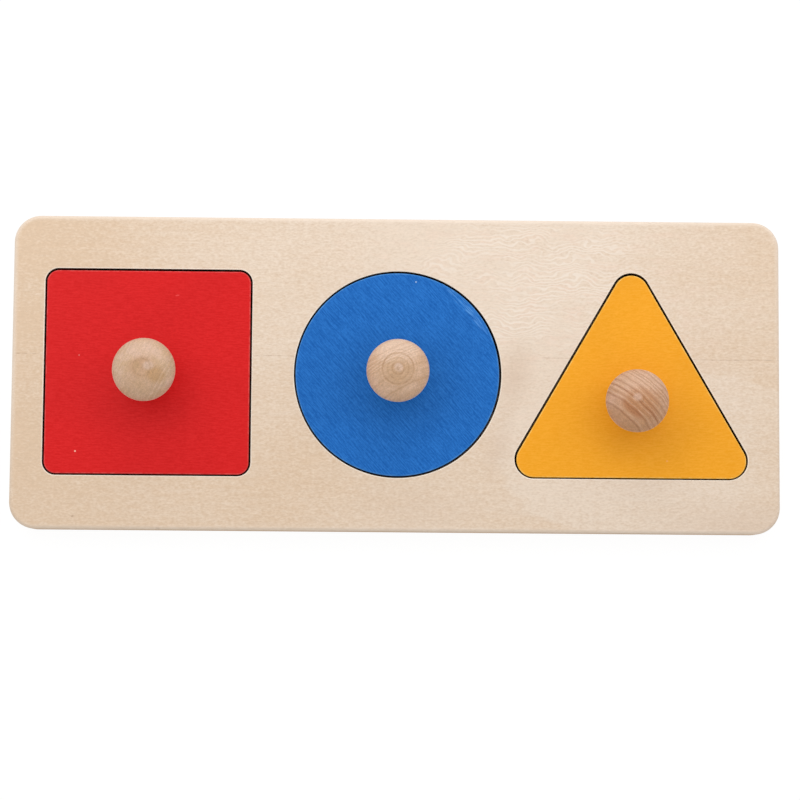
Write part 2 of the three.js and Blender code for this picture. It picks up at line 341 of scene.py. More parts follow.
class Finish:
    """A procedural finish in the making, with one short call for each kind of node."""

    def __init__(self, name, shine):
        self.material = bpy.data.materials.new(name)
        self.material.use_nodes = True
        self.tree = self.material.node_tree
        self.shader = self.tree.nodes["Principled BSDF"]
        self.coordinates = self.tree.nodes.new("ShaderNodeTexCoord")
        self.wear("Specular IOR Level", shine)

    def feed(self, socket, value):
        """Links an output to a socket, or sets a plain value on it."""
        if isinstance(value, bpy.types.NodeSocket):
            self.tree.links.new(value, socket)
        elif isinstance(value, tuple) and socket.type == "RGBA":
            socket.default_value = (*value, 1.0)
        else:
            socket.default_value = value

    def wear(self, socket, value):
        """Sets one of the shader's own sockets."""
        self.feed(self.shader.inputs[socket], value)

    def place(self, size, centre=(0, 0, 0), turn=0):
        """Object coordinates in which a feature of a given size in millimetres measures one."""
        mapping = self.tree.nodes.new("ShaderNodeMapping")
        mapping.vector_type = "TEXTURE"
        self.feed(mapping.inputs["Vector"], self.coordinates.outputs["Object"])
        self.feed(mapping.inputs["Location"], Vector(centre) * MM)
        self.feed(mapping.inputs["Rotation"], Euler((0, 0, math.radians(turn))))
        self.feed(mapping.inputs["Scale"], Vector(size) * MM)
        return mapping.outputs["Vector"]

    def distance(self, centre):
        """How far a point is from an upright line, in millimetres."""
        x, y, _ = self.split(self.place((1, 1, 1), centre))
        return self.reckon("SQRT", self.times_plus(x, x, self.times(y, y)))

    def noise(self, size, centre=(0, 0, 0), turn=0, detail=2.0, roughness=0.5):
        """Noise whose blotches have about a given size in millimetres."""
        node = self.tree.nodes.new("ShaderNodeTexNoise")
        self.feed(node.inputs["Vector"], self.place(size, centre, turn))
        self.feed(node.inputs["Scale"], 1.0)
        self.feed(node.inputs["Detail"], detail)
        self.feed(node.inputs["Roughness"], roughness)
        return node.outputs["Fac"]

    def spot(self, centre, size, turn=0):
        """A soft spot: one at its centre, falling to nothing at an ellipse of a given size."""
        node = self.tree.nodes.new("ShaderNodeTexGradient")
        node.gradient_type = "SPHERICAL"
        self.feed(node.inputs["Vector"], self.place((*size, ANY_HEIGHT), (*centre, 0), turn))
        return node.outputs["Fac"]

    def reckon(self, operation, first, second=0.0, third=0.0):
        """One step of arithmetic."""
        node = self.tree.nodes.new("ShaderNodeMath")
        node.operation = operation
        for socket, value in zip(node.inputs, (first, second, third)):
            self.feed(socket, value)
        return node.outputs["Value"]

    def plus(self, first, second):
        """The sum of two numbers."""
        return self.reckon("ADD", first, second)

    def minus(self, first, second):
        """What is left of one number after another is taken off."""
        return self.reckon("SUBTRACT", first, second)

    def times(self, first, second):
        """The product of two numbers."""
        return self.reckon("MULTIPLY", first, second)

    def times_plus(self, first, second, third):
        """The product of two numbers, and a third added to it."""
        return self.reckon("MULTIPLY_ADD", first, second, third)

    def span(self, value, low, high, out_low=0.0, out_high=1.0):
        """Stretches a value's range to another, smoothly and without running past it."""
        node = self.tree.nodes.new("ShaderNodeMapRange")
        node.interpolation_type = "SMOOTHSTEP"
        for socket, number in zip(node.inputs, (value, low, high, out_low, out_high)):
            self.feed(socket, number)
        return node.outputs["Result"]

    def split(self, vector):
        """The X, Y and Z of a vector."""
        node = self.tree.nodes.new("ShaderNodeSeparateXYZ")
        self.feed(node.inputs["Vector"], vector)
        return node.outputs["X"], node.outputs["Y"], node.outputs["Z"]

    def blend(self, amount, under, over):
        """One colour laid over another by an amount."""
        return self.mix("RGBA", amount, under, over)

    def pick(self, amount, first, second):
        """One number turned into another by an amount."""
        return self.mix("FLOAT", amount, first, second)

    def mix(self, kind, amount, first, second):
        """A mix of two colours or of two numbers."""
        first_socket, second_socket, result = MIX_SOCKETS[kind]
        node = self.tree.nodes.new("ShaderNodeMix")
        node.data_type = kind
        self.feed(node.inputs["Factor"], amount)
        self.feed(node.inputs[first_socket], first)
        self.feed(node.inputs[second_socket], second)
        return node.outputs[result]

    def shade(self, colour, pattern, dark, light):
        """Makes a colour darker and lighter by a noise pattern."""
        node = self.tree.nodes.new("ShaderNodeVectorMath")
        node.operation = "SCALE"
        self.feed(node.inputs["Vector"], colour)
        self.feed(node.inputs["Scale"], self.span(pattern, *SHADE_RANGE, dark, light))
        return node.outputs["Vector"]

    def gloss(self, pattern, dull, bright):
        """Makes the surface duller and glossier by a noise pattern."""
        self.wear("Roughness", self.span(pattern, *GLOSS_RANGE, dull, bright))

    def bands(self, value, stops):
        """Flat bands of colour, each from its own start along a value."""
        node = self.tree.nodes.new("ShaderNodeValToRGB")
        node.color_ramp.interpolation = "CONSTANT"
        ready = len(node.color_ramp.elements)
        for index, (start, colour) in enumerate(stops):
            if index < ready:
                stop = node.color_ramp.elements[index]
                stop.position = start
            else:
                stop = node.color_ramp.elements.new(start)
            stop.color = (*colour, 1.0)
        self.feed(node.inputs["Fac"], value)
        return node.outputs["Color"]

    def lines(self, value, marks):
        """Soft lines along a value from nought to one; each is (middle, half width, strength).

        A ramp holds no more than ten of them, and they don't overlap.
        """
        node = self.tree.nodes.new("ShaderNodeValToRGB")
        ramp = node.color_ramp
        ramp.elements[0].color = (0, 0, 0, 1)
        ramp.elements[1].color = (0, 0, 0, 1)
        for middle, half, strength in marks:
            for place, level in ((middle - half, 0.0), (middle, strength), (middle + half, 0.0)):
                ramp.elements.new(place).color = (level, level, level, 1)
        self.feed(node.inputs["Fac"], value)
        return node.outputs["Color"]

    def inside_outline(self, half_length, half_width, radius):
        """How far a point is inside a rounded rectangle about the origin, in millimetres."""
        x, y, _ = self.split(self.place((1, 1, 1)))
        x = self.minus(self.reckon("ABSOLUTE", x), half_length - radius)
        y = self.minus(self.reckon("ABSOLUTE", y), half_width - radius)
        beyond_x = self.reckon("MAXIMUM", x, 0.0)
        beyond_y = self.reckon("MAXIMUM", y, 0.0)
        squares = self.times_plus(beyond_x, beyond_x, self.times(beyond_y, beyond_y))
        inner = self.reckon("MINIMUM", self.reckon("MAXIMUM", x, y), 0.0)
        outer = self.plus(self.reckon("SQRT", squares), inner)
        return self.minus(radius, outer)

    def relief(self, height, depth):
        """Bumps of a given depth in millimetres."""
        node = self.tree.nodes.new("ShaderNodeBump")
        self.feed(node.inputs["Height"], height)
        self.feed(node.inputs["Strength"], 1.0)
        self.feed(node.inputs["Distance"], depth * MM)
        self.wear("Normal", node.outputs["Normal"])


def birch_face():
    """The board's face: two strips of pale sanded birch veneer, with the grain along the board."""
    birch = Finish("birch_face", shine=0.25)
    _, corner = box_mm("face_panel")
    _, across, _ = birch.split(birch.place((1, 1, 1)))
    end_to_end, side_to_side, _ = birch.split(birch.place((corner.x, corner.y, 1)))

    # Tan at the square's end, paler past the middle, with drifting and mottled tone.
    pale = birch.span(end_to_end, -1.0, 0.3, 0.0, 0.5)
    for centre, size, amount in PALE_CLOUDS:
        pale = birch.times_plus(birch.spot(centre, size), amount, pale)
    drift = birch.noise((60, 18, 40), detail=3, roughness=0.6)
    pale = birch.plus(pale, birch.span(drift, 0.2, 0.8, -0.2, 0.2))
    mottle = birch.noise((3.0, 1.6, 3), centre=(17, 9, 0), detail=4, roughness=0.7)
    pale = birch.plus(pale, birch.span(mottle, *SHADE_RANGE, -0.25, 0.25))
    fibres = birch.noise((1.3, 0.65, 1), centre=(13, 4, 0), detail=1)
    pale = birch.plus(pale, birch.span(fibres, *SHADE_RANGE, -0.2, 0.2))
    ragged = birch.noise((22, 9, 20), centre=(31, 8, 0), detail=4)
    patch = birch.plus(birch.spot(*SAPWOOD_PATCH), birch.span(ragged, 0.2, 0.8, -0.05, 0.05))
    pale = birch.times_plus(birch.span(patch, 0.13, 0.18), 0.3, pale)
    colour = birch.blend(pale, BIRCH_TAN, BIRCH_PALE)
    flush = birch.noise((9, 4, 6), centre=(11, 5, 0), detail=4, roughness=0.6)
    flush = birch.times(birch.span(flush, 0.45, 0.7, 0, 0.6), birch.spot(*ROSY_END))
    colour = birch.blend(flush, colour, BIRCH_ROSE)
    for centre, size, turn, amount in PINK_BLOTCHES:
        blotch = birch.times(birch.spot(centre, size, turn), amount)
        colour = birch.blend(blotch, colour, BIRCH_PINK)

    # Grain: faint streaks that don't match across the seam, mottling, fibres, pores and pale flecks.
    far_strip = birch.reckon("GREATER_THAN", across, SEAM_Y)
    near_streaks = birch.noise(BIRCH_STREAK, detail=3, roughness=0.6)
    far_streaks = birch.noise(BIRCH_STREAK, centre=(61, 3, 0), detail=3, roughness=0.6)
    streaks = birch.pick(far_strip, near_streaks, far_streaks)
    colour = birch.shade(colour, streaks, 0.98, 1.02)
    colour = birch.shade(colour, mottle, 0.972, 1.022)
    colour = birch.shade(colour, fibres, 0.965, 1.03)
    flecks = birch.noise((1.6, 0.5, 1), centre=(7, 1, 0), detail=2)
    colour = birch.blend(birch.span(flecks, 0.62, 0.78, 0.0, 0.3), colour, BIRCH_PORE)
    colour = birch.blend(birch.span(flecks, 0.38, 0.22, 0.0, 0.5), colour, BIRCH_FLECK)

    # Curly figure: pale wavy lines in one place.
    sway = birch.noise((12, 8, 6), centre=(5, 2, 0), detail=2)
    path = birch.times_plus(sway, CURL_SWAY, across)
    curl = birch.reckon("SINE", birch.times(path, 2 * math.pi / CURL_SPACING))
    curl = birch.times(birch.span(curl, -0.2, 1.0), birch.span(birch.spot(*CURLY_FIGURE), 0.0, 0.5))
    curl = birch.times(curl, birch.span(ragged, 0.35, 0.6, 0.15, 0.7))
    colour = birch.blend(curl, colour, BIRCH_CURL)

    # Seam: a thin dashed brown line that wanders a little and fades between circle and triangle.
    wander = birch.noise((40, STEADY, STEADY), detail=1)
    path = birch.span(wander, 0, 1, SEAM_Y - SEAM_WANDER, SEAM_Y + SEAM_WANDER)
    from_seam = birch.reckon("ABSOLUTE", birch.minus(across, path))
    dashes = birch.noise((3, STEADY, STEADY), centre=(3, 0, 0), detail=2)
    seam = birch.times(birch.span(from_seam, 0.05, 0.28, 1, 0),
                       birch.span(dashes, 0.4, 0.62, 0.1, 0.55))
    seam = birch.times(seam, birch.span(birch.spot(*SEAM_FADE), 0.0, 0.4, 1, 0))
    colour = birch.blend(seam, colour, BIRCH_SEAM)
    for centre, size, turn in KNOTS:
        knot = birch.span(birch.spot(centre, size, turn), 0.0, 0.7, 0, 0.6)
        colour = birch.blend(knot, colour, BIRCH_SEAM)

    # Rim: worn paler where it is rounded over, with painted highlight that is strongest at the left end
    # and the back, where the lamps light it, and least at the triangle's end, and painted light along
    # the front edge against its shade.
    inwards = birch.inside_outline(corner.x, corner.y, BOARD_CORNER_RADIUS)
    rim_highlight = birch.span(birch.times_plus(end_to_end, -0.5, side_to_side), -0.6, 0.6, 0.2, 0.75)
    rim_highlight = birch.reckon("MAXIMUM", rim_highlight, birch.span(side_to_side, -0.9, -0.98, 0.0, 0.55))
    rim_highlight = birch.times(rim_highlight, birch.span(inwards, 0.2, 2.4, 1, 0))
    colour = birch.blend(rim_highlight, colour, BIRCH_RIM_HIGHLIGHT)
    birch.wear("Base Color", colour)
    birch.gloss(mottle, dull=0.66, bright=0.52)
    birch.relief(birch.minus(birch.plus(flecks, streaks), seam), 0.015)
    return birch


def plies(finish, lengthwise, crosswise):
    """Bands by height: the veneers of the two sheets, with their grain along and across in turn."""
    _, top = box_mm("face_panel")
    _, _, height = finish.split(finish.place((1, 1, top.z)))
    return finish.bands(height, [(start / top.z, crosswise if index % 2 else lengthwise)
                                 for index, start in enumerate(PLY_STARTS)])


def ply_edge():
    """Sawn plywood edge: veneers that show their long grain and their end grain in turn."""
    edge = Finish("ply_edge", shine=0.2)
    along = edge.noise((8, 0.4, 0.25), detail=3, roughness=0.6)
    across = edge.noise((0.4, 8, 0.25), detail=3, roughness=0.6)
    grain = edge.pick(plies(edge, (0, 0, 0), (1, 1, 1)), along, across)
    edge.wear("Base Color", edge.shade(plies(edge, PLY_PALE, PLY_BROWN), grain, 0.84, 1.1))
    edge.gloss(grain, dull=0.82, bright=0.68)
    edge.relief(grain, 0.05)
    return edge


def scorched_wall():
    """Walls of the recesses and the shapes, browned by the cut, with the veneers still showing."""
    wall = Finish("scorched_wall", shine=0.15)
    soot = wall.noise((1.5, 1.5, 4), detail=3)
    wall.wear("Base Color", wall.shade(plies(wall, PLY_SCORCHED, PLY_CHARRED), soot, 0.6, 1.4))
    wall.gloss(soot, dull=0.86, bright=0.7)
    wall.relief(soot, 0.05)
    return wall


def bare_birch(name, colour):
    """Raw veneer: on the back, under the shapes, and worn pale with a painted highlight at the mouths of
    the recesses.
    """
    birch = Finish(name, shine=0.2)
    drift = birch.noise((80, 14, 40), centre=(23, 6, 0), detail=3, roughness=0.6)
    streaks = birch.noise((22, 1.1, 4), detail=4, roughness=0.6)
    pores = birch.noise((3.0, 0.3, 2), centre=(5, 1, 0), detail=2)
    colour = birch.shade(colour, drift, 0.91, 1.07)
    colour = birch.shade(colour, streaks, 0.94, 1.05)
    colour = birch.blend(birch.span(pores, 0.6, 0.78, 0.0, 0.4), colour, BIRCH_PORE)
    birch.wear("Base Color", colour)
    birch.gloss(streaks, dull=0.75, bright=0.62)
    birch.relief(birch.minus(streaks, pores), 0.03)
    return birch


def satin_paint(name, dark, light, grain, turn, specks=(), scratches=()):
    """Thin satin paint: the grain of the wood shows as fine streaks between two tones.

    Specks and bundles of fine scratches are (place, size, turn, colour, amount).
    """
    paint = Finish(name, shine=0.15)
    streaks = paint.noise(grain, turn=turn, detail=3, roughness=0.7)
    mottle = paint.noise((1.0, 0.6, 1), turn=turn, detail=2)
    clouds = paint.noise((30, 30, 30), detail=2)
    pattern = paint.times_plus(mottle, MOTTLE_IN_PAINT, paint.times(streaks, 1 - MOTTLE_IN_PAINT))
    colour = paint.blend(paint.span(pattern, 0.38, 0.62), dark, light)
    colour = paint.shade(colour, clouds, 0.97, 1.03)
    for centre, size, speck_turn, speck, amount in specks:
        spot = paint.span(paint.spot(centre, size, speck_turn), 0.1, 0.5, 0, amount)
        colour = paint.blend(spot, colour, speck)
    for centre, size, scratch_turn, scratch, amount in scratches:
        spot = paint.span(paint.spot(centre, size, scratch_turn), 0.0, 0.35, 0, amount)
        hairs = paint.noise((7, 0.35, 2), turn=scratch_turn, detail=2)
        colour = paint.blend(paint.times(spot, paint.span(hairs, 0.5, 0.62)), colour, scratch)
    paint.wear("Base Color", colour)
    paint.gloss(streaks, dull=0.45, bright=0.33)
    paint.relief(pattern, 0.03)
    return paint


def turned_wood(name, pink, tan, dark, bright, axis, radius, pith_turn, pith_distance, unbroken,
                dark_lines, bright_lines, tool_rings, stains, tip):
    """Bare turned wood, end grain on top: growth lines about a pith that stands beside the knob.

    Growth lines are (share of the knob's radius, half width, strength), tool rings are (distance from
    the axis, half width, strength), and the soft patches of colour are (place on the knob, size, turn,
    colour, amount): a pale painted highlight high on the knob, where its upper side faces the back lamp,
    wide darker patches over its middle and lower half that are partly the wood's tone and partly painted
    shade, and smaller dark marks of the wood itself. The tip is one more patch, a pale one that hides
    the lines. Unbroken says how much of a growth line is left where the flecks break it.
    """
    wood = Finish(name, shine=0.25)
    wood.wear("Sheen Weight", 0.6)
    wood.wear("Sheen Roughness", 0.2)
    blush = wood.noise((4.5, 4.5, 12), centre=(3, 8, 0), detail=4, roughness=0.6)
    colour = wood.blend(wood.span(blush, 0.35, 0.65), tan, pink)

    def tinted(under, place, size, tint_turn, stain, amount):
        """A colour with one soft patch of another colour laid over it."""
        spot = wood.spot((axis[0] + place[0], axis[1] + place[1]), size, tint_turn)
        return wood.blend(wood.times(wood.span(spot, 0.0, 0.6), amount), under, stain)

    # Patches: a pale painted highlight high on the knob, darker ones that are partly wood tone and
    # partly painted shade, and real staining.
    for stain in stains:
        colour = tinted(colour, *stain)

    # Growth lines, dark and bright, with flecks that run along them.
    turn = math.radians(pith_turn)
    pith = (axis[0] + pith_distance * math.cos(turn), axis[1] + pith_distance * math.sin(turn), 0)
    waver = wood.noise((5, 5, 30), detail=3)
    share = wood.times_plus(wood.distance(pith), 0.5 / radius, 0.5 - 0.5 * pith_distance / radius)
    share = wood.plus(share, wood.span(waver, 0.2, 0.8, -GROWTH_WAVER, GROWTH_WAVER))
    flecks = wood.noise((2.4, 0.35, 5), (*axis, 0), pith_turn + 90, detail=3, roughness=0.65)
    strength = wood.span(flecks, 0.35, 0.6, unbroken, 1.1)
    for shade, marks in ((dark, dark_lines), (bright, bright_lines)):
        lines = wood.lines(share, [(0.5 + 0.5 * place, 0.5 * half / radius, amount)
                                   for place, half, amount in marks])
        colour = wood.blend(wood.times(lines, strength), colour, shade)
    colour = tinted(colour, *tip)
    colour = wood.shade(colour, flecks, 0.9, 1.085)

    # Rings that the turning tool left, broken here and there, and open pores.
    tool = wood.lines(wood.reckon("DIVIDE", wood.distance((*axis, 0)), radius),
                      [(place / radius, half / radius, amount) for place, half, amount in tool_rings])
    broken = wood.noise((2.5, 2.5, 6), centre=(9, 4, 0), detail=2)
    colour = wood.blend(wood.times(tool, wood.span(broken, 0.3, 0.6, 0.25, 1.0)), colour, dark)
    pores = wood.noise((0.5, 0.5, 3.5), detail=3, roughness=0.65)
    colour = wood.shade(colour, pores, 0.855, 1.145)
    wood.wear("Base Color", colour)
    wood.gloss(pores, dull=0.62, bright=0.5)
    wood.relief(wood.plus(pores, flecks), 0.025)
    return wood


def zinc_steel():
    """Bright zinc on the screws."""
    steel = Finish("zinc_steel", shine=0.5)
    steel.wear("Metallic", 1.0)
    brushed = steel.noise((0.3, 0.3, 0.3), detail=2)
    steel.wear("Base Color", steel.shade(ZINC, brushed, 0.9, 1.1))
    steel.gloss(brushed, dull=0.42, bright=0.28)
    steel.relief(brushed, 0.01)
    return steel


# Pieces.

def rectangle_corners(low, high, radius):
    """Centres of the corner arcs of a rounded rectangle."""
    return [(x, y) for x in (low.x + radius, high.x - radius)
            for y in (low.y + radius, high.y - radius)]


def triangle_corners(low, high, radius):
    """Centres of the corner arcs of a rounded triangle that points along Y."""
    middle = (low.x + high.x) / 2
    return [(low.x + radius, low.y + radius), (high.x - radius, low.y + radius),
            (middle, high.y - radius)]


def shape_outlines():
    """For each shape's node: the centres of its corner arcs, and their radius."""
    square = box_mm("square_inset")
    triangle = box_mm("triangle_inset")
    disc_low, disc_high = box_mm("circle_inset")
    return {
        "square_inset": (rectangle_corners(*square, SQUARE_CORNER_RADIUS), SQUARE_CORNER_RADIUS),
        "circle_inset": ([axis_of("circle_inset")], (disc_high.x - disc_low.x) / 2),
        "triangle_inset": (triangle_corners(*triangle, TRIANGLE_CORNER_RADIUS), TRIANGLE_CORNER_RADIUS),
    }


def board_back():
    """The thin back sheet, which is the floor of the recesses."""
    low, high = box_mm("back_panel")
    corners = rectangle_corners(low, high, BOARD_CORNER_RADIUS)
    back = rounded_plate("board_back", corners, BOARD_CORNER_RADIUS, low.z, high.z)
    ease_rim(back, low.z, BOTTOM_EDGE_EASE)
    ease_rim(back, high.z, GLUE_LINE_EASE, steps=FINE_EASE_STEPS)
    return back


def inside_board(spot, low, high):
    """True for a place well inside the board's outline, where only the recesses are."""
    margin = BOARD_CORNER_RADIUS / 2
    return low.x + margin < spot.x < high.x - margin and low.y + margin < spot.y < high.y - margin


def board_face(outlines):
    """The thick face sheet with three recesses cut right through it."""
    low, high = box_mm("face_panel")
    corners = rectangle_corners(low, high, BOARD_CORNER_RADIUS)
    face = rounded_plate("board_face", corners, BOARD_CORNER_RADIUS, low.z, high.z)
    for node, (corners, radius) in outlines.items():
        shift_x, shift_y = RECESS_SHIFT[node]
        corners = [(x + shift_x, y + shift_y) for x, y in corners]
        cutter = rounded_plate("recess_cutter", corners, radius + FIT_GAP,
                               low.z - CUT_OVERRUN, high.z + CUT_OVERRUN)
        combine(face, cutter, "DIFFERENCE")

    def in_recess(spot):
        return inside_board(spot, low, high)

    def on_outline(spot):
        return not inside_board(spot, low, high)

    ease_rim(face, high.z, TOP_EDGE_EASE, on_outline)
    ease_rim(face, high.z, RECESS_MOUTH_EASE, in_recess, FINE_EASE_STEPS)
    ease_rim(face, low.z, GLUE_LINE_EASE, on_outline, FINE_EASE_STEPS)
    return face


def shape(name, node, corners, radius, knob):
    """A shape with eased edges and a countersunk screw hole under its knob."""
    low, high = box_mm(node)
    plate = rounded_plate(name, corners, radius, low.z, high.z)
    ease_rim(plate, high.z, SHAPE_EDGE_EASE)
    ease_rim(plate, low.z, SHAPE_EDGE_EASE)
    cone_top = SCREW_SEAT_RIM + SCREW_SEAT_RADIUS - SCREW_HOLE_RADIUS
    thickness = high.z - low.z
    hole = [(0, -CUT_OVERRUN), (SCREW_SEAT_RADIUS, -CUT_OVERRUN), (SCREW_SEAT_RADIUS, SCREW_SEAT_RIM),
            (SCREW_HOLE_RADIUS, cone_top), (SCREW_HOLE_RADIUS, thickness + CUT_OVERRUN),
            (0, thickness + CUT_OVERRUN)]
    cutter = turn_on_lathe("screw_hole_cutter", axis_of(knob), low.z, hole, SCREW_STEPS)
    combine(plate, cutter, "DIFFERENCE")
    return plate


def crown_height(ring, radius, equator, grooves, nub):
    """How high the crown is at a distance from the knob's axis."""
    share = min(ring / radius, 1.0)
    height = equator + KNOB_CROWN_HEIGHT * math.sqrt(1 - share ** 2)
    for middle, width, depth in grooves:
        height -= depth * math.exp(-((ring - middle) / width) ** 2)
    if nub:
        height += nub[1] * (math.exp(-(ring / nub[0]) ** 2) - 1)
    return height


def knob_profile(radius, height, grooves, nub):
    """Points of a knob from the end of its pilot hole, round the foot and up to the crown.

    Each groove is (radius, width, depth), left by the turning tool. The nub is (radius, height).
    """
    equator = height - KNOB_CROWN_HEIGHT
    neck_middle = (KNOB_FOOT_HEIGHT + KNOB_NECK_TOP) / 2
    neck_half = (KNOB_NECK_TOP - KNOB_FOOT_HEIGHT) / 2
    points = [(0, PILOT_DEPTH), (PILOT_RADIUS, PILOT_DEPTH), (PILOT_RADIUS, 0),
              (KNOB_FOOT_RADIUS - KNOB_FOOT_EASE, 0), (KNOB_FOOT_RADIUS, KNOB_FOOT_EASE)]
    for step in range(KNOB_RINGS // 2 + 1):
        along = 2 * step / (KNOB_RINGS // 2) - 1
        waist = KNOB_NECK_RADIUS + (KNOB_FOOT_RADIUS - KNOB_NECK_RADIUS) * along ** 2
        points.append((waist, neck_middle + neck_half * along))
    start = math.acos(KNOB_FOOT_RADIUS / radius)
    for step in range(1, KNOB_RINGS):
        tilt = start * (1 - step / KNOB_RINGS)
        points.append((radius * math.cos(tilt), equator - radius * math.sin(tilt)))
    rings = {radius * math.cos(math.pi / 2 * step / KNOB_RINGS) for step in range(KNOB_RINGS)}
    for middle, width, _ in grooves:
        rings.update(middle + width * share for share in GROOVE_RINGS)
    if nub:
        rings.update(nub[0] * share for share in NUB_RINGS)
    for ring in sorted((ring for ring in rings if ring > SMALLEST_RING), reverse=True):
        points.append((ring, crown_height(ring, radius, equator, grooves, nub)))
    points.append((0, crown_height(0, radius, equator, grooves, nub)))
    return points


def knob(name, node, grooves, nub):
    """A turned knob that stands on its shape."""
    low, high = box_mm(node)
    profile = knob_profile((high.x - low.x) / 2, high.z - low.z, grooves, nub)
    return turn_on_lathe(name, axis_of(node), low.z, profile, KNOB_STEPS)


def wood_screw(name, node):
    """A countersunk wood screw that points up, with a cross in its head and a cut thread."""
    low, high = box_mm(node)
    length = high.z - low.z
    cone_top = SCREW_HEAD_RIM + SCREW_HEAD_RADIUS - SCREW_SHANK_RADIUS
    profile = [(0, 0), (SCREW_HEAD_RADIUS - SCREW_HEAD_EASE, 0), (SCREW_HEAD_RADIUS, SCREW_HEAD_EASE),
               (SCREW_HEAD_RADIUS, SCREW_HEAD_RIM), (SCREW_SHANK_RADIUS, cone_top),
               (SCREW_SHANK_RADIUS, SCREW_SHANK_TOP), (SCREW_CORE_RADIUS, SCREW_CORE_START),
               (SCREW_CORE_RADIUS, length - SCREW_POINT_LENGTH), (0, length)]
    screw = turn_on_lathe(name, axis_of(node), low.z, profile, SCREW_STEPS)
    thread = wind_thread(axis_of(node), low.z, SCREW_CORE_START + SCREW_THREAD_GAP,
                         length - SCREW_POINT_LENGTH - SCREW_THREAD_GAP)
    combine(screw, thread, "UNION")
    x, y = axis_of(node)
    width, thickness, depth = SCREW_CROSS
    for turn in (0, math.pi / 2):
        bpy.ops.object.select_all(action="DESELECT")
        bpy.ops.mesh.primitive_cube_add(size=1, location=(x, y, low.z), rotation=(0, 0, turn))
        bpy.ops.object.mode_set(mode="EDIT")
        bpy.ops.mesh.select_all(action="SELECT")
        bpy.ops.transform.resize(value=(width, thickness, 2 * depth), orient_type="LOCAL",
                                 center_override=(x, y, low.z))
        bpy.ops.mesh.select_all(action="DESELECT")
        mesh = bmesh.from_edit_mesh(bpy.context.object.data)
        for face in mesh.faces:
            face.select_set(face.normal.z > LEVEL)
        bmesh.update_edit_mesh(bpy.context.object.data)
        bpy.ops.transform.resize(value=(SCREW_CROSS_TAPER, SCREW_CROSS_TAPER, 1),
                                 center_override=(x, y, low.z))
        combine(screw, name_piece("cross_cutter"), "DIFFERENCE")
    return screw


# Camera, light and floor, in millimetres, degrees and watts.

CAMERA_PLACE = (-10.549, -85.448, 907.93)
CAMERA_TURN = (4.81, -0.77, 0.46)
CAMERA_LENS = 103.73
SENSOR_WIDTH = 36.0
FILL_LIGHT = 0.665
LAMPS = {
    "left_lamp": dict(place=(-330, 200, 400), size=360, power=0.55),
    "right_lamp": dict(place=(330, 200, 400), size=360, power=0.47),
    "back_lamp": dict(place=(0, 430, 380), size=400, power=0.64),
}
FLOOR_SIZE = 4000
FLOOR_DROP = 0.1
FLOOR_GLOW = 0.93
FLOOR_SHADOW = 0.1
FLOOR_COLOUR = (0.8, 0.8, 0.8, 1.0)


def aim_camera():
    """The camera looks almost straight down on the board."""
    bpy.ops.object.camera_add()
    camera = bpy.context.object
    camera.name = "camera"
    camera.data.sensor_width = SENSOR_WIDTH
    camera.data.lens = CAMERA_LENS
    turn = Euler([math.radians(angle) for angle in CAMERA_TURN], "ZXY")
    camera.matrix_world = Matrix.Translation(Vector(CAMERA_PLACE) * MM) @ turn.to_matrix().to_4x4()
    bpy.context.scene.camera = camera


def seen_directly(tree):
    """One for rays from the camera and for mirrored and clear rays, nothing for the others."""
    path = tree.nodes.new("ShaderNodeLightPath")
    seen = path.outputs["Is Camera Ray"]
    for output in ("Is Glossy Ray", "Is Transmission Ray"):
        either = tree.nodes.new("ShaderNodeMath")
        either.operation = "MAXIMUM"
        tree.links.new(seen, either.inputs[0])
        tree.links.new(path.outputs[output], either.inputs[1])
        seen = either.outputs["Value"]
    return seen


def light_studio():
    """A white surround with a plain fill, and soft lamps beyond the ends and the back of the board."""
    world = bpy.data.worlds.new("studio")
    bpy.context.scene.world = world
    world.use_nodes = True
    strength = world.node_tree.nodes.new("ShaderNodeMath")
    strength.operation = "MULTIPLY_ADD"
    world.node_tree.links.new(seen_directly(world.node_tree), strength.inputs[0])
    strength.inputs[1].default_value = 1 - FILL_LIGHT
    strength.inputs[2].default_value = FILL_LIGHT
    background = world.node_tree.nodes["Background"]
    background.inputs["Color"].default_value = (1, 1, 1, 1)
    world.node_tree.links.new(strength.outputs["Value"], background.inputs["Strength"])
    for name, facts in LAMPS.items():
        place = Vector(facts["place"]) * MM
        bpy.ops.object.light_add(type="AREA", location=place)
        lamp = bpy.context.object
        lamp.name = name
        lamp.data.size = facts["size"] * MM
        lamp.data.energy = facts["power"]
        lamp.rotation_euler = (-place).to_track_quat("-Z", "Y").to_euler()


def lay_floor():
    """A white floor that still takes a faint shadow."""
    bpy.ops.object.select_all(action="DESELECT")
    bpy.ops.mesh.primitive_plane_add(size=FLOOR_SIZE * MM, location=(0, 0, -FLOOR_DROP * MM))
    floor = name_piece("floor")
    white = bpy.data.materials.new("white_floor")
    white.use_nodes = True
    nodes = white.node_tree.nodes
    links = white.node_tree.links
    nodes.remove(nodes["Principled BSDF"])
    plain = nodes.new("ShaderNodeBsdfDiffuse")
    plain.inputs["Color"].default_value = FLOOR_COLOUR
    shadow = nodes.new("ShaderNodeBsdfDiffuse")
    shadow.inputs["Color"].default_value = (FLOOR_SHADOW, FLOOR_SHADOW, FLOOR_SHADOW, 1)
    glow = nodes.new("ShaderNodeEmission")
    glow.inputs["Strength"].default_value = FLOOR_GLOW
    seen = nodes.new("ShaderNodeAddShader")
    links.new(glow.outputs[0], seen.inputs[0])
    links.new(shadow.outputs[0], seen.inputs[1])
    choose = nodes.new("ShaderNodeMixShader")
    links.new(seen_directly(white.node_tree), choose.inputs[0])
    links.new(plain.outputs[0], choose.inputs[1])
    links.new(seen.outputs[0], choose.inputs[2])
    links.new(choose.outputs[0], nodes["Material Output"].inputs["Surface"])
    floor.data.materials.append(white)


# The puzzle, put together.

